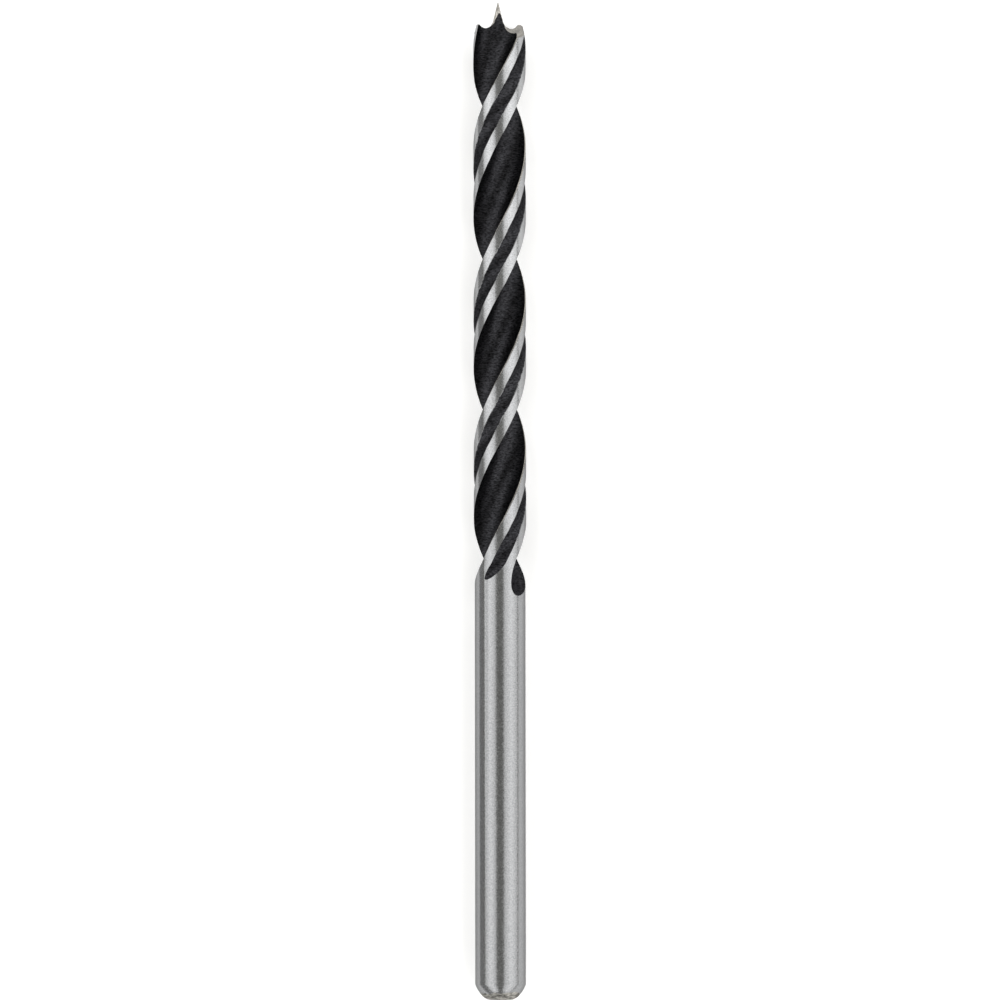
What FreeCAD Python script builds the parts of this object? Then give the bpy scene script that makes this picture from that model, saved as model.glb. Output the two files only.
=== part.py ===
import FreeCAD, Part
import math
import os

# Brad point bit for wood, for a hand drill. It is one piece of steel: a round shank, two
# right hand flutes, and a tip with a centre point between two spurs. Millimetres, degrees.
# The bit is shaped upright, shank down, and laid along +X at the end, so that X = 0 is
# the shank's end face and the tip looks along +X.

# Lengths along the axis
overall_length = 76.0
flute_length = 43.4
recess_length = 42.3
point_height = 1.68
margin_length = 38.5
margin_taper_length = 2.3

# Diameters
cutting_diameter = 4.0
shank_diameter = 3.87
web_thickness = 0.48

# Helix and cross section: each land has two ground margins with a recess between them
helix_lead = 22.86
land_angle = 84.5
leading_margin_angle = 24.5
trailing_margin_angle = 27.5
recess_depth = 0.16

# Tip: a slim point, a round valley at each lip, and a spur at each outer corner
lip_bearing = 52.6
point_angle = 30.6
valley_radius = 1.25
valley_depth = 0.31
relief_lead = 3.7
relief_run_in = 25.0
relief_run_out = 20.0

# Shank end: a broad domed chamfer round a small flat
end_chamfer_length = 1.2
end_chamfer_width = 1.1

# Clearance past the surface that a cutter leaves
overshoot = 0.5

# Worked out from the sizes above
cutting_radius = cutting_diameter / 2
shank_radius = shank_diameter / 2
web_radius = web_thickness / 2
spur_height = overall_length - point_height
flute_end = spur_height - flute_length
recess_end = spur_height - recess_length
recess_floor_radius = cutting_radius - recess_depth
flute_angle = 180.0 - land_angle
recess_angle = land_angle - leading_margin_angle - trailing_margin_angle

base = FreeCAD.Vector(0, 0, 0)
up = FreeCAD.Vector(0, 0, 1)


def bearing_at(bearing, height):
    """Bearing of a helical feature at a height, from its bearing at the spurs."""
    return bearing + 360.0 * (height - spur_height) / helix_lead


def at(radius, bearing, height):
    """Point at a radius and a bearing about the axis."""
    turn = math.radians(bearing)
    return FreeCAD.Vector(radius * math.cos(turn), radius * math.sin(turn), height)


def groove(width_angle, floor_radius, bearing, end_height):
    """Round helical cutter that meets the cutting circle over width_angle, with a ball end.

    The cutter is a disc square to the axis. It touches the circle of floor_radius and
    passes through both edges of the groove on the cutting circle.
    """
    half_angle = math.radians(width_angle / 2)
    half_chord = cutting_radius * math.sin(half_angle)
    rise = cutting_radius * math.cos(half_angle) - floor_radius
    disc_radius = (half_chord ** 2 + rise ** 2) / (2 * rise)
    offset = floor_radius + disc_radius
    ball_reach = math.sqrt(disc_radius ** 2 - (offset - shank_radius) ** 2)
    start = end_height + ball_reach
    stop = overall_length + overshoot
    start_bearing = bearing_at(bearing, start)
    centre = at(offset, start_bearing, start)

    disc = Part.makeCircle(disc_radius, at(offset, 0, start), up)
    disc.rotate(base, up, start_bearing)
    spine = Part.Wire([Part.makeLine(at(0, 0, start), at(0, 0, stop))])
    guide = Part.makeHelix(helix_lead, stop - start, offset)
    guide.rotate(base, up, start_bearing)
    guide.translate(at(0, 0, start))
    sweep = Part.BRepOffsetAPI.MakePipeShell(spine)
    sweep.setAuxiliarySpine(Part.Wire(guide.Edges), True, 0)
    sweep.setMaxDegree(4)
    sweep.add(Part.Wire([disc]), False, False)
    sweep.build()
    sweep.makeSolid()
    ball = Part.makeSphere(disc_radius, centre)
    return [sweep.shape(), ball]


def tip_curve():
    """Edges of the tip's outline in the XZ plane, from the point's foot out to the spur."""
    slope = math.radians(point_angle / 2)
    valley_height = spur_height - valley_depth
    # The foot is an arc that touches both the point's side and the bottom of the valley
    spread = math.cos(slope) - (1 - math.sin(slope)) * math.tan(slope)
    drop_to_valley = overall_length - valley_height
    foot_radius = (valley_radius - drop_to_valley * math.tan(slope)) / spread
    width = cutting_radius - valley_radius
    spur_radius = (width ** 2 + valley_depth ** 2) / (2 * valley_depth)

    foot_centre = at(valley_radius, 0, valley_height + foot_radius)
    foot_top = foot_centre + at(-foot_radius * math.cos(slope), 0, -foot_radius * math.sin(slope))
    foot_middle_turn = (math.pi / 2 + slope) / 2
    foot_middle = foot_centre + at(-foot_radius * math.cos(foot_middle_turn), 0,
                                   -foot_radius * math.sin(foot_middle_turn))
    valley = at(valley_radius, 0, valley_height)
    spur_centre = at(valley_radius, 0, valley_height + spur_radius)
    spur_turn = math.asin(width / spur_radius)
    spur_middle = spur_centre + at(spur_radius * math.sin(spur_turn / 2), 0,
                                   -spur_radius * math.cos(spur_turn / 2))
    spur_tip = at(cutting_radius, 0, spur_height)
    foot = Part.Arc(foot_top, foot_middle, valley).toShape()
    spur = Part.Arc(valley, spur_middle, spur_tip).toShape()
    return foot_top, foot, spur, spur_tip, spur_turn


def blank():
    """Turned blank: shank, ground margins and the tip's outline, with no flutes yet."""
    foot_top, foot, spur, spur_tip, spur_turn = tip_curve()
    end_flat = at(shank_radius - end_chamfer_width, 0, 0)
    chamfer_top = at(shank_radius, 0, end_chamfer_length)
    # The chamfer is part of a sphere, through both its edges and centred on the axis
    dome_height = (chamfer_top.Length ** 2 - end_flat.Length ** 2) / (2 * end_chamfer_length)
    dome_centre = at(0, 0, dome_height)
    dome_radius = (end_flat - dome_centre).Length
    chord_middle = (end_flat + chamfer_top) * 0.5
    chamfer_middle = dome_centre + (chord_middle - dome_centre).normalize() * dome_radius
    taper_top = at(cutting_radius, 0, spur_height - margin_length)
    taper_bottom = at(shank_radius, 0, spur_height - margin_length - margin_taper_length)
    apex = at(0, 0, overall_length)
    outline = Part.Wire([
        Part.makeLine(base, end_flat),
        Part.Arc(end_flat, chamfer_middle, chamfer_top).toShape(),
        Part.makeLine(chamfer_top, taper_bottom),
        Part.makeLine(taper_bottom, taper_top),
        Part.makeLine(taper_top, spur_tip),
        spur,
        foot,
        Part.makeLine(foot_top, apex),
        Part.makeLine(apex, base),
    ])
    turned = Part.Face(outline).revolve(base, up, 360)
    # The seam of the turned faces lies in a flute at the tip
    turned.rotate(base, up, lip_bearing + flute_angle / 2)
    return turned


def relief_cutter(bearing):
    """Form cutter that leaves the tip lower behind a lip, the further back the deeper."""
    foot_top, foot, spur, spur_tip, spur_turn = tip_curve()
    outer = spur_tip + at(overshoot * math.cos(spur_turn), 0, overshoot * math.sin(spur_turn))
    ceiling = overall_length + overshoot
    corner = at(outer.x, 0, ceiling)
    inner = at(foot_top.x, 0, ceiling)
    profile = Part.Wire([
        foot,
        spur,
        Part.makeLine(spur_tip, outer),
        Part.makeLine(outer, corner),
        Part.makeLine(corner, inner),
        Part.makeLine(inner, foot_top),
    ])
    behind = land_angle + relief_run_out
    turn = behind + relief_run_in
    drop = relief_lead * behind / 360.0
    rise = relief_lead * turn / 360.0
    path = Part.makeHelix(relief_lead, rise, valley_radius)
    path.rotate(base, up, bearing - behind)
    path.translate(at(0, 0, -drop))
    profile.rotate(base, up, bearing - behind)
    profile.translate(at(0, 0, -drop))
    return Part.Wire(path.Edges).makePipeShell([profile], True, True)


def drill_bit():
    """The whole bit, upright."""
    body = blank()
    for lip in (lip_bearing, lip_bearing + 180.0):
        flute_bearing = lip + flute_angle / 2
        for tool in groove(flute_angle, web_radius, flute_bearing, flute_end):
            body = body.cut(tool)
    for lip in (lip_bearing, lip_bearing + 180.0):
        recess_bearing = lip - leading_margin_angle - recess_angle / 2
        for tool in groove(recess_angle, recess_floor_radius, recess_bearing, recess_end):
            body = body.cut(tool)
    for lip in (lip_bearing, lip_bearing + 180.0):
        body = body.cut(relief_cutter(lip))
    return body


os.makedirs("parts", exist_ok=True)
bit = drill_bit()
along_x = FreeCAD.Rotation(
    FreeCAD.Vector(0, -1, 0),
    FreeCAD.Vector(0, 0, -1),
    FreeCAD.Vector(1, 0, 0),
)
bit.Placement = FreeCAD.Placement(base, along_x)
bit.exportStep("parts/drill_bit.step")
print("solids", len(bit.Solids), "volume", round(bit.Volume, 3), "valid", bit.isValid())
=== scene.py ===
import math
from collections import namedtuple

import bmesh
import bpy
from bpy.props import FloatProperty, FloatVectorProperty, IntProperty, PointerProperty
from mathutils import Matrix, Vector


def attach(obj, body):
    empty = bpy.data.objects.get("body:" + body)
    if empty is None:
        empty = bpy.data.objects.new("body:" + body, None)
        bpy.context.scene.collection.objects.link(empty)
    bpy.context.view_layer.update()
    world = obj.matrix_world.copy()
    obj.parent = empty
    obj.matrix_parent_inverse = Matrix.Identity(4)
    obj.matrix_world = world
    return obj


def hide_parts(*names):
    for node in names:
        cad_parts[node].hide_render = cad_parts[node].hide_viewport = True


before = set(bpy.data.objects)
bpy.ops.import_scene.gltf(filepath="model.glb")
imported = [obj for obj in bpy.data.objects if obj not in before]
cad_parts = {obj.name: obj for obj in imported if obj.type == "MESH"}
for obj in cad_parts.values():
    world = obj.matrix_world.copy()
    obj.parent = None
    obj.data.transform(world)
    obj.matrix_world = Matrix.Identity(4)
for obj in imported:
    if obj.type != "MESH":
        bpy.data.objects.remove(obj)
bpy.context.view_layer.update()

bl_info = {
    "name": "Brad Point Drill Bit",
    "version": (1, 0, 0),
    "blender": (4, 5, 0),
    "location": "View3D > Sidebar > Drill Bit",
    "description": "Models and dresses a brad point drill bit for wood in a small studio",
    "category": "Object",
}

# The bit is shaped upright in millimetres, shank down and seen from the side of -Y,
# then laid along +X in metres.
MM = 1000.0
LAY_DOWN = Matrix.Scale(1 / MM, 4) @ Matrix((
    (0, 0, 1, 0),
    (-1, 0, 0, 0),
    (0, -1, 0, 0),
    (0, 0, 0, 1),
))

# Material slots of the bit
GROUND, TIP, END, OXIDE = range(4)

# Meshing: a distance in millimetres, an angle in degrees, and numbers of digits and steps
MERGE_DISTANCE = 1e-5
SHARP_ANGLE = 22
HEIGHT_DIGITS = 3
DISC_SEGMENTS = 96
EDGE_LINE_SEGMENTS = 16
FINE_STEPS_PER_STEP = 4
ARC_STEPS = 8
END_ROUND_STEPS = 12
FOOT_STEPS = 16

# A helical groove: its width and its bearing at the spurs in degrees, the radius of its
# floor, the height of its end, the length over which it leaves the steel and how sharply
# it does, its turn at the end, how much deeper it gets toward the tip, and its unevenness
Groove = namedtuple("Groove", [
    "width_angle", "floor_radius", "bearing", "end_height", "run_out", "run_out_power",
    "end_turn", "growth", "unevenness"])

# Noise textures: repeats per metre along the bit and across it, detail and roughness
Grain = namedtuple("Grain", "along across detail roughness")
GRIND_MARKS = Grain(7500.0, 4200.0, 3.0, 0.65)
GRIND_RIPPLES = Grain(3200.0, 1800.0, 2.0, 0.5)
GRIND_PATCHES = Grain(9500.0, 8000.0, 2.0, 0.6)
SAWN_LIMIT = Grain(1300.0, 1300.0, 2.0, 0.6)
SAWN_SCRATCHES = Grain(5200.0, 2300.0, 4.0, 0.65)
OXIDE_CLOUDS = Grain(900.0, 900.0, 4.0, 0.6)
OXIDE_GRAIN = Grain(11000.0, 4200.0, 3.0, 0.7)
OXIDE_SPECKS = Grain(5200.0, 5200.0, 3.0, 0.65)
NOISE_RANGE = (0.3, 0.7)

# Ground steel: roughness at its smoothest and roughest, depth of its marks, and the radius
# of the painted highlight on the point, in metres
Grind = namedtuple("Grind", "roughness depth point_radius")
SHANK_GRIND = Grind((0.16, 0.26), 0.000012, 0.0)
TIP_GRIND = Grind((0.22, 0.34), 0.000010, 0.0005)
GROUND_EDGE_TINT = 0.52
PATCH_RANGE = (0.35, 0.65)
PATCH_TONES = (0.87, 1.13)
RIPPLE_SHARE = 0.55

# Painted highlights: the base colour of the lands is brighter than the shank from the first
# height to the second, and the point is brighter still below its top
PAINTED_LAND_HIGHLIGHT_SPAN = (0.026, 0.062)
PAINTED_LAND_HIGHLIGHT_GAIN = 1.28
PAINTED_POINT_HIGHLIGHT_TOP = (0.0752, 0.0754)
PAINTED_POINT_HIGHLIGHT_GAIN = 0.5
PAINTED_POINT_HIGHLIGHT_BORDER = 0.0001

# The rough end: height of its wavy limit, and its tones against the end colour
SAWN_HEIGHT = 0.00056
SAWN_WAVE = 0.00012
SAWN_BORDER = 0.00003
SAWN_RANGE = (0.38, 0.64)
SAWN_TONES = (0.35, 1.7)
SAWN_ROUGHNESS = 0.5

# Black oxide: its metallic share, its tones against its colour, and the depth of its grain
OXIDE_METALLIC = 0.9
OXIDE_SHEEN = 0.15
OXIDE_EDGE_TINT = 0.4
OXIDE_ROUGHNESS = (0.28, 0.45)
OXIDE_GRAIN_DEPTH = 0.000016
CLOUD_TONES = (0.8, 1.3)
GRAIN_RANGE = (0.36, 0.66)
GRAIN_TONES = (0.3, 2.7)

# Specks where the oxide is worn through, mostly along the outer edges
WORN_EDGE = 0.00009
WORN_EDGE_GAIN = 0.6
WORN_RANGE = (0.85, 1.05)
WORN_STRENGTH = 0.8
WORN_TONE = 0.8

# Floor, and a dark card low on the left: the places of its near and far edge, in metres
# to the side of the bit and over the floor
FLOOR_SIZE = 1.5
FLOOR_GLOW = 0.25
FLAG_COLOUR = 0.31
FLAG_HALF_LENGTH = 0.15
FLAG_NEAR = (0.0095, 0.0003)
FLAG_FAR = (0.09, 0.010)

# Soft boxes: length, distance from the bit, and for each layer of one the share of its
# width that is left free at both sides, and its strength
LAMP_LENGTH = 1.3
LAMP_DISTANCE = 0.25
LAMP_LAYER_GAP = 0.005
LAMP_LAYERS = ((0.0, 1.25), (0.2, 0.3), (0.38, 0.28))
ROOM_COLOUR = (1.0, 0.99, 0.93, 1.0)

# Unevenness of a groove along the bit: for each wave its share, its turn per millimetre
# and its start, in radians
WAVES = ((1.0, 2.1, 0.0), (0.6, 5.3, 1.0), (0.4, 11.7, 2.0))


class BitSizes(bpy.types.PropertyGroup):
    """Sizes of the drill bit."""
    overall_length: FloatProperty(
        name="Overall length", description="From the shank's end to the point",
        default=0.076, unit="LENGTH", subtype="DISTANCE")
    flute_length: FloatProperty(
        name="Flute length", description="From the spurs to the ends of the flutes",
        default=0.0434, unit="LENGTH", subtype="DISTANCE")
    recess_length: FloatProperty(
        name="Recess length", description="From the spurs to the ends of the recesses",
        default=0.0423, unit="LENGTH", subtype="DISTANCE")
    margin_length: FloatProperty(
        name="Margin length", description="From the spurs to where the margins start to narrow",
        default=0.0385, unit="LENGTH", subtype="DISTANCE")
    margin_taper_length: FloatProperty(
        name="Margin taper length", description="Over which the margins narrow to the shank",
        default=0.0023, unit="LENGTH", subtype="DISTANCE")
    point_height: FloatProperty(
        name="Point height", description="How far the centre point stands above the spurs",
        default=0.00168, unit="LENGTH", subtype="DISTANCE")
    cutting_diameter: FloatProperty(
        name="Cutting diameter", description="Across the margins",
        default=0.004, unit="LENGTH", subtype="DISTANCE")
    shank_diameter: FloatProperty(
        name="Shank diameter", description="Across the plain shank",
        default=0.00387, unit="LENGTH", subtype="DISTANCE")
    web_thickness: FloatProperty(
        name="Web thickness", description="Between the two flutes",
        default=0.00048, unit="LENGTH", subtype="DISTANCE")
    recess_depth: FloatProperty(
        name="Recess depth", description="Of the strip between the two margins of a land",
        default=0.00016, unit="LENGTH", subtype="DISTANCE")
    helix_lead: FloatProperty(
        name="Helix lead", description="Rise of the flutes in one turn",
        default=0.02286, unit="LENGTH", subtype="DISTANCE")
    round_steps: IntProperty(
        name="Round steps", description="Facets round the bit", default=256, min=48)
    sweep_step: FloatProperty(
        name="Sweep step", description="Degrees between two places of a swept cutter",
        default=3.5, min=1)


class BitFinish(bpy.types.PropertyGroup):
    """Colours of the drill bit."""
    ground_colour: FloatVectorProperty(
        name="Ground steel", description="Shank and margins",
        default=(0.272, 0.275, 0.281), size=3, min=0, max=1, subtype="COLOR")
    tip_colour: FloatVectorProperty(
        name="Tip steel", description="Ground faces of the tip",
        default=(0.226, 0.217, 0.202), size=3, min=0, max=1, subtype="COLOR")
    end_colour: FloatVectorProperty(
        name="End steel", description="Chamfer and end of the shank",
        default=(0.25, 0.243, 0.225), size=3, min=0, max=1, subtype="COLOR")
    oxide_colour: FloatVectorProperty(
        name="Black oxide", description="Flutes and recesses",
        default=(0.0150, 0.0150, 0.0166), size=3, min=0, max=1, subtype="COLOR")


class StudioSettings(bpy.types.PropertyGroup):
    """Floor, lamps and camera."""
    floor_colour: FloatVectorProperty(
        name="Floor", description="Colour of the floor",
        default=(0.9, 0.9, 0.9), size=3, min=0, max=1, subtype="COLOR")
    lamp_strength: FloatProperty(
        name="Lamp strength", description="Brightness of both soft lamps", default=1.0, min=0)
    world_strength: FloatProperty(
        name="World strength", description="Brightness of the room", default=0.36, min=0)
    left_lamp: FloatVectorProperty(
        name="Left lamp", description="Degrees off the line of sight, from and to",
        default=(19.5, 73.5), size=2)
    right_lamp: FloatVectorProperty(
        name="Right lamp", description="Degrees off the line of sight, from and to",
        default=(17.0, 84.0), size=2)
    camera_roll: FloatProperty(
        name="Camera roll", description="Turn of the picture, in degrees", default=0.07)
    view_width: FloatProperty(
        name="View width", description="Width that the camera sees",
        default=0.07619, unit="LENGTH", subtype="DISTANCE")
    camera_distance: FloatProperty(
        name="Camera distance", description="Height of the camera over the bit's axis",
        default=2.0, unit="LENGTH", subtype="DISTANCE")


class Pen:
    """Draws an outline in the upright XZ plane, vertex by vertex."""

    def __init__(self, bm, x, z):
        self.bm = bm
        self.vert = bm.verts.new((x, 0, z))
        self.first = self.vert

    def line(self, x, z):
        extruded = bmesh.ops.extrude_vert_indiv(self.bm, verts=[self.vert])
        self.vert = extruded["verts"][0]
        self.vert.co = Vector((x, 0, z))

    def arc(self, centre_x, centre_z, x, z, steps):
        """Turns the shorter way round a centre, to a point on the same circle."""
        start = math.atan2(self.vert.co.z - centre_z, self.vert.co.x - centre_x)
        stop = math.atan2(z - centre_z, x - centre_x)
        turn = (stop - start + math.pi) % (2 * math.pi) - math.pi
        spun = bmesh.ops.spin(
            self.bm, geom=[self.vert], cent=(centre_x, 0, centre_z), axis=(0, -1, 0),
            angle=turn, steps=steps)
        self.vert = spun["geom_last"][0]
        self.vert.co = Vector((x, 0, z))

    def close(self):
        self.bm.edges.new((self.vert, self.first))


class BitShape:
    """The bit's sizes in millimetres and degrees, and the shapes worked out from them."""

    # Cross section of the flutes and lands
    leading_margin_angle = 24.5
    trailing_margin_angle = 27.5
    land_angle = 84.5
    flute_extra_depth = 0.06
    edge_line_radius = 0.09
    edge_line_offset_angle = 0.8

    # Ends of the grooves
    flute_overrun = 0.12
    flute_run_out = 2.8
    flute_run_out_power = 1.35
    flute_unevenness = 0.25
    recess_run_out = 1.4
    recess_run_out_power = 2.5
    recess_end_turn = -9.0
    recess_growth = 0.05
    recess_unevenness = 0.45

    # A stretch near the tip where the helix lags behind
    helix_lag = -4.5
    helix_lag_height = 66.5
    helix_lag_reach = 3.5

    # Outline of the tip
    lip_bearing = 52.6
    point_angle = 27.6
    point_flat = 0.03
    valley_radius = 1.0
    valley_depth = 0.25
    spur_slope = 36.0
    spur_crest_radius = 0.30
    tip_offset = 0.11

    # Cutters that carry the lips back, and the relief behind the lips
    tip_flute_length = 6.5
    tip_flute_turn = 15.0
    tip_flute_inset = 0.12
    tip_flute_web = 0.07
    lip_disc_radius = 1.1
    lip_disc_offset = 1.5
    lip_turn = 31.0
    relief_turn = 27.6
    relief_angle = 26.5
    relief_run_in = 25.0
    relief_run_out = 20.0

    # Shank end
    end_chamfer_length = 1.2
    end_flat_radius = 0.66
    end_round_radius = 1.02
    end_round_angle = 55.4
    end_bulge = 0.045

    # Clearance of the cutters past the steel
    overshoot = 0.5

    def __init__(self, sizes):
        self.length = sizes.overall_length * MM
        self.spur_height = self.length - sizes.point_height * MM
        self.margin_end = self.spur_height - sizes.margin_length * MM
        self.taper_end = self.margin_end - sizes.margin_taper_length * MM
        self.middle_height = self.spur_height - sizes.flute_length * MM / 2
        self.cutting_radius = sizes.cutting_diameter * MM / 2
        self.shank_radius = sizes.shank_diameter * MM / 2
        self.lead = sizes.helix_lead * MM
        self.twist = 360.0 / self.lead
        self.round_steps = sizes.round_steps
        self.sweep_step = sizes.sweep_step
        self.flute = self.flute_groove(sizes)
        self.recess = self.recess_groove(sizes)
        self.place_foot()
        self.place_spur()

    def flute_groove(self, sizes):
        width_angle = 180.0 - self.land_angle
        return Groove(
            width_angle=width_angle,
            floor_radius=sizes.web_thickness * MM / 2 - self.flute_extra_depth,
            bearing=self.lip_bearing + width_angle / 2,
            end_height=self.spur_height - sizes.flute_length * MM - self.flute_overrun,
            run_out=self.flute_run_out,
            run_out_power=self.flute_run_out_power,
            end_turn=0.0,
            growth=0.0,
            unevenness=self.flute_unevenness,
        )

    def recess_groove(self, sizes):
        width_angle = self.land_angle - self.leading_margin_angle - self.trailing_margin_angle
        return Groove(
            width_angle=width_angle,
            floor_radius=self.cutting_radius - sizes.recess_depth * MM,
            bearing=self.lip_bearing - self.leading_margin_angle - width_angle / 2,
            end_height=self.spur_height - sizes.recess_length * MM,
            run_out=self.recess_run_out,
            run_out_power=self.recess_run_out_power,
            end_turn=self.recess_end_turn,
            growth=self.recess_growth,
            unevenness=self.recess_unevenness,
        )

    def place_foot(self):
        """The foot is an arc that touches the point's side and the bottom of the valley."""
        slope = math.radians(self.point_angle / 2)
        valley_height = self.spur_height - self.valley_depth
        spread = math.cos(slope) - (1 - math.sin(slope)) * math.tan(slope)
        drop = self.length - valley_height
        radius = (self.valley_radius - self.point_flat - drop * math.tan(slope)) / spread
        self.valley = (self.valley_radius, valley_height)
        self.foot_centre = (self.valley_radius, valley_height + radius)
        self.foot_top = (self.valley_radius - radius * math.cos(slope),
                         self.foot_centre[1] - radius * math.sin(slope))

    def place_spur(self):
        """The spur is a hollow arc and a crest arc that touch each other."""
        valley_height = self.valley[1]
        rise = math.radians(self.spur_slope)
        reach = self.valley_depth / (1 - math.cos(rise))
        hollow = reach - self.spur_crest_radius
        self.hollow_centre = (self.valley_radius, valley_height + hollow)
        self.crest_start = (self.valley_radius + hollow * math.sin(rise),
                            valley_height + hollow * (1 - math.cos(rise)))
        self.crest_centre = (self.valley_radius + reach * math.sin(rise),
                             self.spur_height - self.spur_crest_radius)
        beyond = self.cutting_radius - self.crest_centre[0]
        self.crest_end = (self.cutting_radius, self.crest_centre[1] + math.sqrt(
            self.spur_crest_radius ** 2 - beyond ** 2))

    def bearing_at(self, bearing, height):
        """Bearing of a helical feature at a height, from its bearing at the spurs."""
        return bearing + 360.0 * (height - self.spur_height) / self.lead

    def groove_disc(self, groove):
        """Radius and offset of the disc that cuts a groove."""
        half_angle = math.radians(groove.width_angle / 2)
        half_chord = self.cutting_radius * math.sin(half_angle)
        rise = self.cutting_radius * math.cos(half_angle) - groove.floor_radius
        radius = (half_chord ** 2 + rise ** 2) / (2 * rise)
        return radius, groove.floor_radius + radius


def turned_blank(shape):
    """Shank and margins as one turned form, long enough to grind the tip from."""
    bm = bmesh.new()
    turn = math.radians(shape.end_round_angle)
    corner = Vector((shape.end_flat_radius + shape.end_round_radius * math.sin(turn),
                     shape.end_round_radius * (1 - math.cos(turn))))
    top = Vector((shape.shank_radius, shape.end_chamfer_length))
    chord = top - corner
    bulge_radius = (chord.length ** 2 / 4 + shape.end_bulge ** 2) / (2 * shape.end_bulge)
    inward = Vector((-chord.y, chord.x)).normalized()
    bulge_centre = (corner + top) / 2 + inward * (bulge_radius - shape.end_bulge)
    pen = Pen(bm, 0, 0)
    pen.line(shape.end_flat_radius, 0)
    pen.arc(shape.end_flat_radius, shape.end_round_radius, *corner, END_ROUND_STEPS)
    pen.arc(*bulge_centre, *top, ARC_STEPS)
    pen.line(shape.shank_radius, shape.taper_end)
    pen.line(shape.cutting_radius, shape.margin_end)
    pen.line(shape.cutting_radius, shape.length)
    pen.line(0, shape.length)
    revolve(bm, shape.round_steps)
    for face in bm.faces:
        if face.calc_center_median().z < shape.end_chamfer_length:
            face.material_index = END
    return bm


def revolve(bm, steps):
    """Turns an outline into a closed form."""
    bmesh.ops.spin(
        bm, geom=bm.verts[:] + bm.edges[:], cent=(0, 0, 0), axis=(0, 0, 1),
        angle=math.tau, steps=steps, use_merge=True)
    bmesh.ops.remove_doubles(bm, verts=bm.verts, dist=MERGE_DISTANCE)
    bmesh.ops.recalc_face_normals(bm, faces=bm.faces)


def tip_form(shape):
    """The turned form that lies above the tip: a cone round the point, valleys and spurs."""
    ceiling = shape.length + shape.overshoot
    outer_x = shape.cutting_radius + shape.overshoot
    bm = bmesh.new()
    pen = Pen(bm, shape.point_flat, shape.length)
    pen.line(*shape.foot_top)
    pen.arc(*shape.foot_centre, *shape.valley, FOOT_STEPS)
    pen.arc(*shape.hollow_centre, *shape.crest_start, ARC_STEPS)
    pen.arc(*shape.crest_centre, *shape.crest_end, ARC_STEPS)
    pen.line(outer_x, shape.crest_end[1])
    pen.line(outer_x, ceiling)
    pen.line(shape.point_flat, ceiling)
    pen.close()
    revolve(bm, shape.round_steps)
    for face in bm.faces:
        face.material_index = TIP
    return bm


def helical_sweep(shape, radius, offset, start, start_bearing, twist,
                  fine_length=0.0, segments=DISC_SEGMENTS):
    """A disc square to the axis, swept up past the tip while it turns, with finer first steps."""
    bm = bmesh.new()
    turned = Matrix.Rotation(math.radians(start_bearing), 4, "Z")
    place = turned @ Matrix.Translation((offset, 0, start))
    disc = bmesh.ops.create_circle(bm, segments=segments, radius=radius, matrix=place)
    geom = disc["verts"] + list({edge for vert in disc["verts"] for edge in vert.link_edges})
    rest = shape.length + shape.overshoot - start - fine_length
    fine_step = shape.sweep_step / FINE_STEPS_PER_STEP
    for rise, step in ((fine_length, fine_step), (rest, shape.sweep_step)):
        if rise > 0:
            steps = math.ceil(rise * twist / step)
            spun = bmesh.ops.spin(
                bm, geom=geom, cent=(0, 0, 0), axis=(0, 0, 1),
                dvec=(0, 0, rise / steps), angle=math.radians(rise * twist), steps=steps)
            geom = spun["geom_last"]
    return bm


def move_rings(bm, start_bearing, start, twist, move):
    """Shifts each ring of a sweep outwards and round the axis, as move says for its height."""
    rings = {}
    for vert in bm.verts:
        rings.setdefault(round(vert.co.z, HEIGHT_DIGITS), []).append(vert)
    for height, ring in rings.items():
        outward, turn = move(height)
        bearing = math.radians(start_bearing + (height - start) * twist)
        bmesh.ops.translate(
            bm, verts=ring, vec=(outward * math.cos(bearing), outward * math.sin(bearing), 0))
        bmesh.ops.rotate(
            bm, verts=ring, cent=(0, 0, 0), matrix=Matrix.Rotation(math.radians(turn), 3, "Z"))


def paired(bm, material):
    """Adds the same form half a turn round the axis, and sets the finish that it leaves."""
    copied = bmesh.ops.duplicate(bm, geom=bm.verts[:] + bm.edges[:] + bm.faces[:])
    verts = [item for item in copied["geom"] if isinstance(item, bmesh.types.BMVert)]
    bmesh.ops.rotate(bm, verts=verts, cent=(0, 0, 0), matrix=Matrix.Rotation(math.pi, 3, "Z"))
    for face in bm.faces:
        face.material_index = material
    return bm


def wander(shape, height, amount):
    """Turn of a groove off its helix at a height, in degrees."""
    distance = (height - shape.helix_lag_height) / shape.helix_lag_reach
    waves = sum(share * math.sin(height * rate + start) for share, rate, start in WAVES)
    return shape.helix_lag * math.exp(-distance ** 2) + amount * waves


def groove_cutters(shape, groove):
    """Cutters of a two start helical groove that leave the steel gradually at the end."""
    radius, offset = shape.groove_disc(groove)
    depth = shape.cutting_radius - groove.floor_radius
    start = groove.end_height
    start_bearing = shape.bearing_at(groove.bearing, start)
    bm = helical_sweep(shape, radius, offset, start, start_bearing, shape.twist, groove.run_out)

    def move(height):
        left = max(0.0, 1 - (height - start) / groove.run_out)
        past_middle = (height - shape.middle_height) / (shape.spur_height - shape.middle_height)
        taper = (shape.margin_end - height) / (shape.margin_end - shape.taper_end)
        deeper = groove.growth * max(0.0, past_middle)
        deeper += (shape.cutting_radius - shape.shank_radius) * min(1.0, max(0.0, taper))
        turn = groove.end_turn * left ** 2 + wander(shape, height, groove.unevenness)
        return depth * left ** groove.run_out_power - deeper, turn

    move_rings(bm, start_bearing, start, shape.twist, move)
    close_ends(bm)
    return paired(bm, OXIDE)


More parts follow.
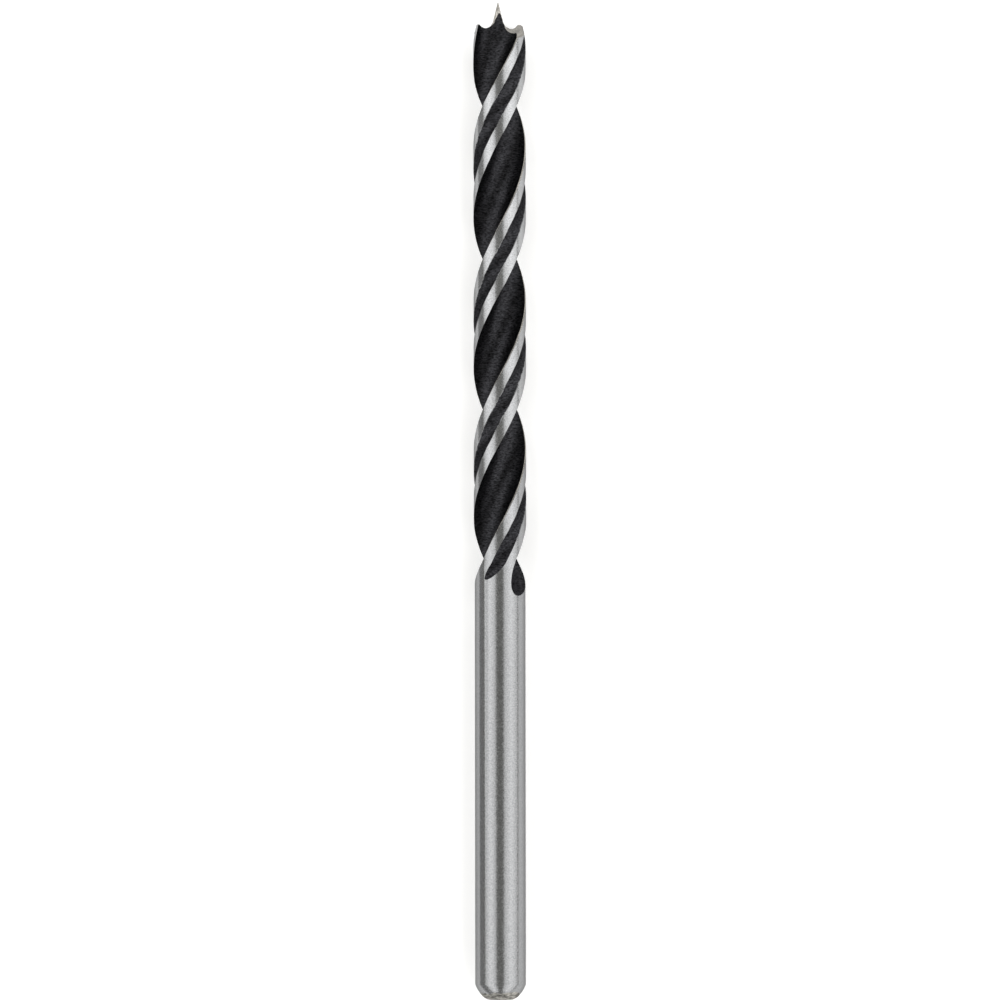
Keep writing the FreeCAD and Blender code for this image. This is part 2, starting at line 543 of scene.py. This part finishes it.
def edge_cutters(shape):
    """A fine line that follows the heel edge of each flute."""
    flute = shape.flute
    bearing = flute.bearing + flute.width_angle / 2 + shape.edge_line_offset_angle
    start = flute.end_height + flute.run_out
    start_bearing = shape.bearing_at(bearing, start)
    bm = helical_sweep(shape, shape.edge_line_radius, shape.cutting_radius, start, start_bearing,
                       shape.twist, segments=EDGE_LINE_SEGMENTS)
    move_rings(bm, start_bearing, start, shape.twist,
               lambda height: (0, wander(shape, height, flute.unevenness)))
    close_ends(bm)
    return paired(bm, TIP)


def tip_flute_cutters(shape, radius, offset, turn):
    """Cutters that carry each lip back near the tip, with a slower turn than the flutes."""
    start = shape.spur_height - shape.tip_flute_length
    start_bearing = shape.bearing_at(shape.flute.bearing, start)
    twist = shape.twist - turn / shape.tip_flute_length
    bm = helical_sweep(shape, radius, offset, start, start_bearing, twist)
    close_ends(bm)
    return paired(bm, OXIDE)


def relief_cutters(shape):
    """Form cutters, tilted about each lip, that leave the tip lower behind it."""
    lip = math.radians(shape.lip_bearing - shape.relief_turn)
    form = tip_form(shape)
    pivot = Matrix.Translation((0, 0, shape.valley[1]))
    tilt = Matrix.Rotation(math.radians(shape.relief_angle), 4, "X")
    turned = Matrix.Rotation(lip, 4, "Z")
    bmesh.ops.transform(form, matrix=turned @ pivot @ tilt @ pivot.inverted(), verts=form.verts)
    keep = bmesh.new()
    outer = shape.cutting_radius + shape.overshoot / 2
    pen = Pen(keep, shape.foot_top[0], shape.margin_end)
    pen.line(outer, shape.margin_end)
    pen.line(outer, shape.length)
    pen.line(shape.foot_top[0], shape.length)
    pen.close()
    behind = shape.land_angle + shape.relief_run_out
    run = behind + shape.relief_run_in
    bmesh.ops.rotate(keep, verts=keep.verts, cent=(0, 0, 0),
                     matrix=Matrix.Rotation(lip - math.radians(behind), 3, "Z"))
    bmesh.ops.spin(
        keep, geom=keep.verts[:] + keep.edges[:], cent=(0, 0, 0), axis=(0, 0, 1),
        angle=math.radians(run), steps=math.ceil(run / shape.sweep_step))
    close_ends(keep)
    return paired(form_within(form, keep), TIP)


def form_within(form, keep):
    """The part of a form that lies within another."""
    inner = object_from(form, "form", [])
    outer = object_from(keep, "keep", [])
    join(inner, [outer], "INTERSECT")
    bm = bmesh.new()
    bm.from_mesh(inner.data)
    bpy.data.meshes.remove(inner.data)
    return bm


def close_ends(bm):
    """Caps a swept tube at both ends and turns its faces outwards."""
    bmesh.ops.remove_doubles(bm, verts=bm.verts, dist=MERGE_DISTANCE)
    rims = [edge for edge in bm.edges if edge.is_boundary]
    bmesh.ops.holes_fill(bm, edges=rims, sides=0)
    bmesh.ops.recalc_face_normals(bm, faces=bm.faces)


def object_from(bm, name, materials):
    """Turns a bmesh into an object at the origin and frees the bmesh."""
    mesh = bpy.data.meshes.new(name)
    bm.to_mesh(mesh)
    bm.free()
    for material in materials:
        mesh.materials.append(material)
    made = bpy.data.objects.new(name, mesh)
    bpy.context.scene.collection.objects.link(made)
    return made


def join(body, tools, operation):
    """Applies the same boolean operation with each tool in turn and removes the tools."""
    for tool in tools:
        modifier = body.modifiers.new(tool.name, "BOOLEAN")
        modifier.operation = operation
        modifier.solver = "MANIFOLD"
        modifier.object = tool
    graph = bpy.context.evaluated_depsgraph_get()
    done = bpy.data.meshes.new_from_object(body.evaluated_get(graph))
    body.modifiers.clear()
    body.data = done
    for tool in tools:
        bpy.data.meshes.remove(tool.data)


def add(tree, kind, inputs=None, **settings):
    """Adds a node, sets its properties, and feeds its inputs with values or sockets."""
    made = tree.nodes.new(kind)
    for key, value in settings.items():
        setattr(made, key, value)
    for key, value in (inputs or {}).items():
        socket = made.inputs[key]
        if isinstance(value, bpy.types.NodeSocket):
            tree.links.new(value, socket)
        else:
            socket.default_value = value
    return made


def maths(tree, operation, *values):
    """Works out one value from others."""
    made = add(tree, "ShaderNodeMath", dict(enumerate(values)), operation=operation)
    return made.outputs[0]


def remap(tree, value, from_low, from_high, to_low=0.0, to_high=1.0, smooth=False):
    """Maps one range of a value to another and holds it at both ends."""
    made = add(tree, "ShaderNodeMapRange", {
        "Value": value, "From Min": from_low, "From Max": from_high,
        "To Min": to_low, "To Max": to_high,
    }, interpolation_type="SMOOTHSTEP" if smooth else "LINEAR")
    return made.outputs["Result"]


def blend(tree, factor, first, second, mode="MIX"):
    """Mixes two colours. The Mix node has sockets for each kind of data, so numbers name them."""
    made = add(tree, "ShaderNodeMix", {0: factor, 6: first, 7: second},
               data_type="RGBA", blend_type=mode)
    return made.outputs[2]


def multiplied(tree, first, second):
    """Multiplies a colour by a colour or a value."""
    return blend(tree, 1.0, first, second, "MULTIPLY")


def blend_into(tree, socket, factor, value, mix):
    """Mixes a value into what already feeds a socket."""
    tree.links.new(mix(tree, factor, socket.links[0].from_socket, value), socket)


def blend_value(tree, factor, first, second):
    """Mixes two values."""
    made = add(tree, "ShaderNodeMix", {"Factor": factor, "A": first, "B": second})
    return made.outputs["Result"]


def object_place(tree):
    """Place on the bit, in metres."""
    return tree.nodes.new("ShaderNodeTexCoord").outputs["Object"]


def axis_height(tree, place):
    """Distance along the axis from the shank's end."""
    return add(tree, "ShaderNodeSeparateXYZ", {"Vector": place}).outputs["X"]


def axis_distance(tree, place):
    """Distance from the axis."""
    parts = add(tree, "ShaderNodeSeparateXYZ", {"Vector": place}).outputs
    squares = [maths(tree, "MULTIPLY", parts[key], parts[key]) for key in "YZ"]
    return maths(tree, "SQRT", maths(tree, "ADD", *squares))


def noise(tree, place, grain):
    """A noise texture fixed to the bit."""
    scale = (grain.along, grain.across, grain.across)
    stretched = add(tree, "ShaderNodeMapping", {"Vector": place, "Scale": scale})
    made = add(tree, "ShaderNodeTexNoise", {
        "Vector": stretched.outputs["Vector"], "Scale": 1.0,
        "Detail": grain.detail, "Roughness": grain.roughness})
    return made.outputs["Fac"]


def grinding_group():
    """Short marks round the bit, as a grinding wheel leaves them, and cloudy patches."""
    tree = bpy.data.node_groups.new("grinding_marks", "ShaderNodeTree")
    for label in ("Height", "Patches"):
        tree.interface.new_socket(label, in_out="OUTPUT", socket_type="NodeSocketFloat")
    result = tree.nodes.new("NodeGroupOutput")
    place = object_place(tree)
    marks = maths(tree, "MULTIPLY", noise(tree, place, GRIND_MARKS), 1 - RIPPLE_SHARE)
    ripples = maths(tree, "MULTIPLY", noise(tree, place, GRIND_RIPPLES), RIPPLE_SHARE)
    tree.links.new(maths(tree, "ADD", marks, ripples), result.inputs["Height"])
    tree.links.new(noise(tree, place, GRIND_PATCHES), result.inputs["Patches"])
    return tree


def new_material(name):
    """A new material with its node tree and its Principled shader."""
    material = bpy.data.materials.new(name)
    material.use_nodes = True
    tree = material.node_tree
    return material, tree, tree.nodes["Principled BSDF"]


def colour4(colour, factor=1.0):
    """A colour times a factor, with full alpha."""
    return (colour[0] * factor, colour[1] * factor, colour[2] * factor, 1.0)


def grey(level):
    return (level, level, level, 1.0)


def ground_steel(name, colour, grind, marks_group):
    """Ground steel with fine marks, made brighter along the lands than on the shank as a painted
    highlight.
    """
    material, tree, surface = new_material(name)
    marks = add(tree, "ShaderNodeGroup", node_tree=marks_group).outputs
    surface.inputs["Metallic"].default_value = 1.0
    surface.inputs["Specular Tint"].default_value = grey(GROUND_EDGE_TINT)
    place = object_place(tree)
    height = axis_height(tree, place)
    tone = remap(tree, marks["Patches"], *PATCH_RANGE, *PATCH_TONES)
    # Painted highlight: the colour brightens along the axis toward the tip, over the lands.
    land = remap(tree, height, *PAINTED_LAND_HIGHLIGHT_SPAN, 1.0, PAINTED_LAND_HIGHLIGHT_GAIN)
    tone = maths(tree, "MULTIPLY", tone, land)
    # Painted highlight: the centre point is made brighter near the axis, below its top.
    if grind.point_radius:
        below = remap(tree, height, *PAINTED_POINT_HIGHLIGHT_TOP, PAINTED_POINT_HIGHLIGHT_GAIN, 0.0)
        inside = remap(tree, axis_distance(tree, place), grind.point_radius,
                       grind.point_radius + PAINTED_POINT_HIGHLIGHT_BORDER, 1.0, 0.0)
        tone = maths(tree, "MULTIPLY", tone, maths(tree, "MULTIPLY_ADD", below, inside, 1.0))
    tree.links.new(multiplied(tree, colour4(colour), tone), surface.inputs["Base Color"])
    roughness = remap(tree, marks["Patches"], *NOISE_RANGE, *grind.roughness)
    tree.links.new(roughness, surface.inputs["Roughness"])
    relief = add(tree, "ShaderNodeBump", {
        "Height": marks["Height"], "Distance": grind.depth, "Strength": 1.0})
    tree.links.new(relief.outputs["Normal"], surface.inputs["Normal"])
    return material


def sawn_end(name, ground_colour, end_colour, marks_group):
    """The rounded end: ground steel down to a wavy line, rough and dark below it."""
    material = ground_steel(name, ground_colour, SHANK_GRIND, marks_group)
    tree = material.node_tree
    surface = tree.nodes["Principled BSDF"]
    place = object_place(tree)
    wave = remap(tree, noise(tree, place, SAWN_LIMIT), *NOISE_RANGE, -SAWN_WAVE, SAWN_WAVE)
    height = maths(tree, "ADD", axis_height(tree, place), wave)
    sawn = remap(tree, height, SAWN_HEIGHT - SAWN_BORDER, SAWN_HEIGHT + SAWN_BORDER, 1.0, 0.0,
                 smooth=True)
    scratches = remap(tree, noise(tree, place, SAWN_SCRATCHES), *SAWN_RANGE)
    base = blend(tree, scratches, *(colour4(end_colour, factor) for factor in SAWN_TONES))
    blend_into(tree, surface.inputs["Base Color"], sawn, base, blend)
    blend_into(tree, surface.inputs["Roughness"], sawn, SAWN_ROUGHNESS, blend_value)
    return material


def black_oxide(name, colour, worn_colour, edge_radius):
    """Black scale with a fine hammered grain, worn through in specks along the outer edges."""
    material, tree, surface = new_material(name)
    surface.inputs["Metallic"].default_value = OXIDE_METALLIC
    surface.inputs["Specular IOR Level"].default_value = OXIDE_SHEEN
    surface.inputs["Specular Tint"].default_value = grey(OXIDE_EDGE_TINT)
    place = object_place(tree)
    cloud = remap(tree, noise(tree, place, OXIDE_CLOUDS), *NOISE_RANGE)
    grain = noise(tree, place, OXIDE_GRAIN)
    base = blend(tree, cloud, *(colour4(colour, factor) for factor in CLOUD_TONES))
    tone = blend(tree, remap(tree, grain, *GRAIN_RANGE), *(grey(level) for level in GRAIN_TONES))
    base = multiplied(tree, base, tone)
    edge = remap(tree, axis_distance(tree, place), edge_radius - WORN_EDGE, edge_radius,
                 0.0, WORN_EDGE_GAIN)
    specks = maths(tree, "ADD", edge, noise(tree, place, OXIDE_SPECKS))
    worn = remap(tree, specks, *WORN_RANGE, 0.0, WORN_STRENGTH, smooth=True)
    base = blend(tree, worn, base, colour4(worn_colour, WORN_TONE))
    tree.links.new(base, surface.inputs["Base Color"])
    roughness = remap(tree, grain, *NOISE_RANGE, *OXIDE_ROUGHNESS)
    tree.links.new(roughness, surface.inputs["Roughness"])
    relief = add(tree, "ShaderNodeBump", {
        "Height": grain, "Distance": OXIDE_GRAIN_DEPTH, "Strength": 1.0})
    tree.links.new(relief.outputs["Normal"], surface.inputs["Normal"])
    return material


class DRILLBIT_OT_make_bit(bpy.types.Operator):
    """Models the drill bit and gives it its finishes"""
    bl_idname = "drillbit.make_bit"
    bl_label = "Make Drill Bit"

    def execute(self, context):
        shape = BitShape(context.scene.bit_sizes)
        finish = context.scene.bit_finish
        marks_group = grinding_group()
        materials = [
            ground_steel("ground_steel", finish.ground_colour, SHANK_GRIND, marks_group),
            ground_steel("tip_steel", finish.tip_colour, TIP_GRIND, marks_group),
            sawn_end("end_steel", finish.ground_colour, finish.end_colour, marks_group),
            black_oxide("black_oxide", finish.oxide_colour, finish.ground_colour,
                        shape.cutting_radius / MM),
        ]
        bit = object_from(turned_blank(shape), "bit", materials)
        cut_bit(bit, shape, materials)
        lay_down(bit)
        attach(bit, "root")
        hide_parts("drill_bit")
        return {"FINISHED"}


def cut_bit(bit, shape, materials):
    """Cuts the grooves and the tip out of the turned blank."""
    flute_radius, flute_offset = shape.groove_disc(shape.flute)
    tip_radius = flute_radius - shape.tip_flute_inset
    tip_offset = flute_offset - shape.tip_flute_inset + shape.tip_flute_web
    forms = [
        groove_cutters(shape, shape.flute),
        groove_cutters(shape, shape.recess),
        edge_cutters(shape),
        tip_flute_cutters(shape, tip_radius, tip_offset, shape.tip_flute_turn),
        tip_flute_cutters(shape, shape.lip_disc_radius, shape.lip_disc_offset, shape.lip_turn),
    ]
    for form in (tip_form(shape), relief_cutters(shape)):
        bmesh.ops.translate(form, verts=form.verts, vec=(-shape.tip_offset, 0, 0))
        forms.append(form)
    cutters = [object_from(form, f"cutter_{index}", materials) for index, form in enumerate(forms)]
    join(bit, cutters, "DIFFERENCE")


def lay_down(bit):
    """Cleans the mesh, lays it along +X in metres and shades it smooth between sharp edges."""
    bm = bmesh.new()
    bm.from_mesh(bit.data)
    bmesh.ops.remove_doubles(bm, verts=bm.verts, dist=MERGE_DISTANCE)
    bmesh.ops.dissolve_degenerate(bm, edges=bm.edges, dist=MERGE_DISTANCE)
    bmesh.ops.transform(bm, matrix=LAY_DOWN, verts=bm.verts)
    bmesh.ops.recalc_face_normals(bm, faces=bm.faces)
    for face in bm.faces:
        face.smooth = True
    open_edges = sum(not edge.is_manifold for edge in bm.edges)
    bm.to_mesh(bit.data)
    bm.free()
    bit.data.set_sharp_from_angle(angle=math.radians(SHARP_ANGLE))
    print("bit faces", len(bit.data.polygons), "open edges", open_edges)


class DRILLBIT_OT_set_stage(bpy.types.Operator):
    """Adds the floor, the lamps and the camera"""
    bl_idname = "drillbit.set_stage"
    bl_label = "Set Stage"

    def execute(self, context):
        studio = context.scene.bit_studio
        sizes = context.scene.bit_sizes
        middle = sizes.overall_length / 2
        ground = -sizes.cutting_diameter / 2
        make_floor(studio, middle, ground)
        make_flag(middle, ground)
        make_world(context.scene, studio)
        context.scene.view_settings.view_transform = "Standard"
        strength = studio.lamp_strength
        make_soft_box(context.scene, "left_lamp", middle, 1, studio.left_lamp, strength)
        make_soft_box(context.scene, "right_lamp", middle, -1, studio.right_lamp, strength)
        make_camera(context.scene, studio)
        return {"FINISHED"}


def make_floor(studio, middle, height):
    """A pale floor that adds a little light of its own to what the camera and metal see."""
    bm = bmesh.new()
    bmesh.ops.create_grid(
        bm, x_segments=1, y_segments=1, size=FLOOR_SIZE,
        matrix=Matrix.Translation((middle, 0, height)))
    material, tree, surface = new_material("floor")
    surface.inputs["Base Color"].default_value = colour4(studio.floor_colour)
    surface.inputs["Roughness"].default_value = 0.9
    surface.inputs["Specular IOR Level"].default_value = 0.0
    path = tree.nodes.new("ShaderNodeLightPath")
    seen = maths(tree, "MAXIMUM", path.outputs["Is Camera Ray"], path.outputs["Is Glossy Ray"])
    seen = maths(tree, "MAXIMUM", seen, path.outputs["Is Transmission Ray"])
    surface.inputs["Emission Color"].default_value = (1, 1, 1, 1)
    tree.links.new(maths(tree, "MULTIPLY", seen, FLOOR_GLOW), surface.inputs["Emission Strength"])
    floor = object_from(bm, "floor", [material])


def make_flag(middle, height):
    """A dark card low on the left, which the camera doesn't see, for a dark line down the bit."""
    bm = bmesh.new()
    ends = [bm.verts.new((middle - FLAG_HALF_LENGTH, side, height + rise))
            for side, rise in (FLAG_NEAR, FLAG_FAR)]
    edge = bm.edges.new(ends)
    bmesh.ops.spin(bm, geom=[*ends, edge], cent=(0, 0, 0), axis=(1, 0, 0),
                   dvec=(2 * FLAG_HALF_LENGTH, 0, 0), angle=0, steps=1)
    material, tree, surface = new_material("flag")
    surface.inputs["Base Color"].default_value = grey(FLAG_COLOUR)
    surface.inputs["Roughness"].default_value = 1.0
    flag = object_from(bm, "flag", [material])
    flag.visible_camera = False
    flag.visible_diffuse = False
    flag.visible_shadow = False


def make_world(scene, studio):
    """An even, slightly warm room."""
    world = bpy.data.worlds.new("room")
    scene.world = world
    world.use_nodes = True
    background = world.node_tree.nodes["Background"]
    background.inputs["Color"].default_value = ROOM_COLOUR
    background.inputs["Strength"].default_value = studio.world_strength


def make_soft_box(scene, name, middle, side, angles, strength):
    """A soft box that is brightest in its middle: a wide lamp with narrower ones before it."""
    low, high = angles
    for layer, (share, layer_strength) in enumerate(LAMP_LAYERS):
        inset = (high - low) * share
        make_lamp(scene, f"{name}_{layer}", middle, side, LAMP_DISTANCE - LAMP_LAYER_GAP * layer,
                  (low + inset, high - inset), layer_strength * strength)


def make_lamp(scene, name, middle, side, distance, angles, radiance):
    """A long lamp beside the bit, between two angles off the line of sight."""
    low, high = (math.radians(angle) for angle in angles)
    aim = (low + high) / 2
    width = 2 * distance * math.sin((high - low) / 2)
    light = bpy.data.lights.new(name, "AREA")
    light.shape = "RECTANGLE"
    light.size = LAMP_LENGTH
    light.size_y = width
    light.energy = radiance * math.pi * light.size * light.size_y
    lamp = bpy.data.objects.new(name, light)
    reach = distance * math.cos((high - low) / 2)
    lamp.location = (middle, side * reach * math.sin(aim), reach * math.cos(aim))
    lamp.rotation_euler = (-side * aim, 0, 0)
    lamp.visible_camera = False
    scene.collection.objects.link(lamp)


def make_camera(scene, studio):
    """A long lens square over the bit, which sees it nearly without perspective."""
    lens = bpy.data.cameras.new("camera")
    lens.lens = lens.sensor_width * studio.camera_distance / studio.view_width
    lens.clip_start = 0.01
    lens.clip_end = 5.0
    camera = bpy.data.objects.new("camera", lens)
    camera.location = (studio.view_width / 2, 0, studio.camera_distance)
    camera.rotation_euler = (0, 0, math.radians(-90 - studio.camera_roll))
    scene.collection.objects.link(camera)
    scene.camera = camera


class DRILLBIT_PT_panel(bpy.types.Panel):
    """Lists the drill bit's operators and settings"""
    bl_idname = "DRILLBIT_PT_panel"
    bl_label = "Drill Bit"
    bl_space_type = "VIEW_3D"
    bl_region_type = "UI"
    bl_category = "Drill Bit"

    def draw(self, context):
        for group in (context.scene.bit_sizes, context.scene.bit_finish, context.scene.bit_studio):
            column = self.layout.column(align=True)
            for key in group.bl_rna.properties.keys():
                if key not in ("rna_type", "name"):
                    column.prop(group, key)
        self.layout.operator(DRILLBIT_OT_make_bit.bl_idname)
        self.layout.operator(DRILLBIT_OT_set_stage.bl_idname)


CLASSES = (BitSizes, BitFinish, StudioSettings, DRILLBIT_OT_make_bit, DRILLBIT_OT_set_stage,
           DRILLBIT_PT_panel)


def register():
    for each in CLASSES:
        bpy.utils.register_class(each)
    bpy.types.Scene.bit_sizes = PointerProperty(type=BitSizes)
    bpy.types.Scene.bit_finish = PointerProperty(type=BitFinish)
    bpy.types.Scene.bit_studio = PointerProperty(type=StudioSettings)


def unregister():
    del bpy.types.Scene.bit_studio
    del bpy.types.Scene.bit_finish
    del bpy.types.Scene.bit_sizes
    for each in reversed(CLASSES):
        bpy.utils.unregister_class(each)


def main():
    register()
    bpy.ops.drillbit.make_bit()
    bpy.ops.drillbit.set_stage()


if __name__ == "__main__":
    main()
